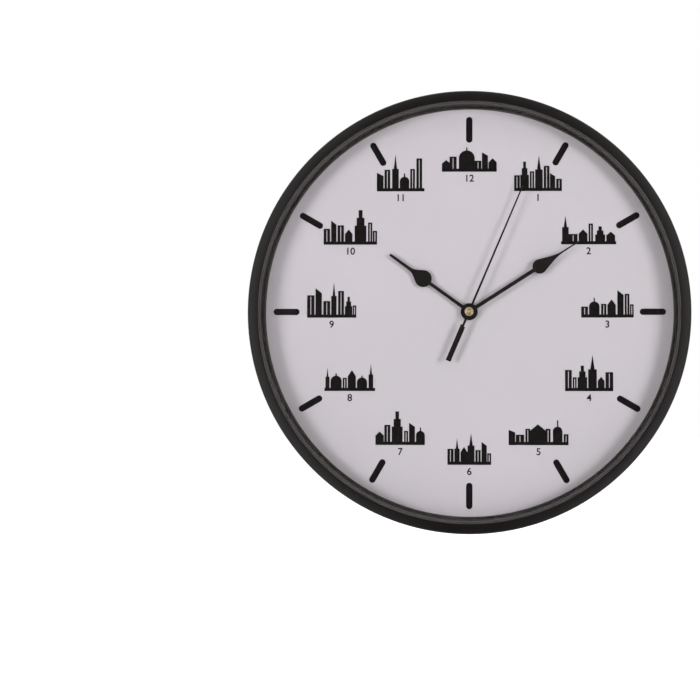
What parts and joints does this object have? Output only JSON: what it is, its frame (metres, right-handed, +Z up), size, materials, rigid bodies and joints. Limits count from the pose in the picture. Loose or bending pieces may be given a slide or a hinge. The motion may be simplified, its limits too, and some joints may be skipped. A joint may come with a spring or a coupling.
{
  "type": "wall clock",
  "caption": "Round black quartz wall clock with a pale dial, bar hour marks, printed skylines, leaf hands and an open keyhole back.",
  "frame": {"origin": "on the hands' axis, in the plane of the wall that the back of the clock rests on", "axes": "+Z up with twelve at the top, +Y into the wall, -Y out of the dial towards the viewer, +X to the right as seen from the front"},
  "size_m": [0.3, 0.038, 0.3],
  "materials": {
    "black_frame": "satin",
    "clear_glass": "polished",
    "taupe_ring": "matte",
    "dial_paper": "matte",
    "black_ink": "matte",
    "grey_board": "matte",
    "black_cover": "fine grain",
    "bright_screw": "plated",
    "movement_black": "satin",
    "smoked_clear": "smoked, clear",
    "white_plastic": "satin",
    "board_green": "lacquered",
    "black_resin": "cast",
    "steel_can": "plated",
    "steel_lamination": "rolled",
    "black_bobbin": "satin",
    "copper_wire": "lacquered",
    "dark_magnet": "sintered",
    "gear_plastic": "satin",
    "steel_pin": "drawn",
    "pipe_brass": "turned",
    "knob_black": "satin",
    "contact_steel": "nickel-plated",
    "battery_jacket": "gloss film",
    "black_hand": "satin",
    "cap_brass": "polished"
  },
  "bodies": {
    "case": {"frame": "black_frame", "glass": "clear_glass", "spacer_ring": "taupe_ring", "dial_sheet": "dial_paper", "hour_marks": "black_ink", "skyline_prints": "black_ink", "dial_board": "grey_board", "rear_cover": "black_cover", "cover_screws": "bright_screw", "movement_case": "movement_black", "movement_cover": "smoked_clear", "middle_plate": "white_plastic", "circuit_board": "board_green", "chip_blob": "black_resin", "quartz_crystal": "steel_can", "stator": "steel_lamination", "coil_core": "steel_lamination", "coil_bobbin": "black_bobbin", "coil_winding": "copper_wire", "stator_screws": "bright_screw", "positive_contact": "contact_steel", "negative_contact": "contact_steel", "battery_cell": "battery_jacket"},
    "seconds": {"seconds_wheel": "gear_plastic", "seconds_arbor": "steel_pin", "second_hand": "black_hand", "second_cap": "cap_brass"},
    "intermediate": {"intermediate_wheel": "gear_plastic"},
    "rotor": {"rotor_magnet": "dark_magnet", "rotor_pinion": "gear_plastic"},
    "third": {"third_wheel": "gear_plastic"},
    "centre": {"centre_wheel": "gear_plastic"},
    "minute": {"cannon_pinion": "pipe_brass", "minute_hand": "black_hand"},
    "motion": {"motion_wheel": "gear_plastic"},
    "hour": {"hour_wheel": "gear_plastic", "hour_hand": "black_hand"},
    "setting": {"setting_gear": "gear_plastic", "setting_knob": "knob_black"}
  },
  "joints": [
    {"name": "second_spin", "type": "hinge", "parent": "case", "child": "seconds", "pos_m": [0, 0, 0], "axis": [0, 1, 0], "continuous": true},
    {"name": "intermediate_spin", "type": "hinge", "parent": "case", "child": "intermediate", "pos_m": [-0.00653, 0, 0.00304], "axis": [0, 1, 0], "continuous": true},
    {"name": "rotor_spin", "type": "hinge", "parent": "case", "child": "rotor", "pos_m": [-0.00948, 0, -0.0033], "axis": [0, 1, 0], "continuous": true},
    {"name": "third_spin", "type": "hinge", "parent": "case", "child": "third", "pos_m": [0.0078, 0, 0.00546], "axis": [0, 1, 0], "continuous": true},
    {"name": "centre_spin", "type": "hinge", "parent": "case", "child": "centre", "pos_m": [0, 0, 0], "axis": [0, 1, 0], "continuous": true},
    {"name": "minute_spin", "type": "hinge", "parent": "case", "child": "minute", "pos_m": [0, 0, 0], "axis": [0, 1, 0], "continuous": true},
    {"name": "motion_spin", "type": "hinge", "parent": "case", "child": "motion", "pos_m": [0.00773, 0, -0.00207], "axis": [0, 1, 0], "continuous": true},
    {"name": "hour_spin", "type": "hinge", "parent": "case", "child": "hour", "pos_m": [0, 0, 0], "axis": [0, 1, 0], "continuous": true},
    {"name": "setting_spin", "type": "hinge", "parent": "case", "child": "setting", "pos_m": [0.01869, 0, -0.00111], "axis": [0, 1, 0], "continuous": true}
  ],
  "couplings": [
    {"joint": "intermediate_spin", "follows": "second_spin", "ratio": -5},
    {"joint": "rotor_spin", "follows": "second_spin", "ratio": 30},
    {"joint": "third_spin", "follows": "second_spin", "ratio": -0.13333},
    {"joint": "centre_spin", "follows": "second_spin", "ratio": 0.016667},
    {"joint": "motion_spin", "follows": "minute_spin", "ratio": -0.33333},
    {"joint": "hour_spin", "follows": "minute_spin", "ratio": 0.083333},
    {"joint": "setting_spin", "follows": "minute_spin", "ratio": 0.4}
  ]
}
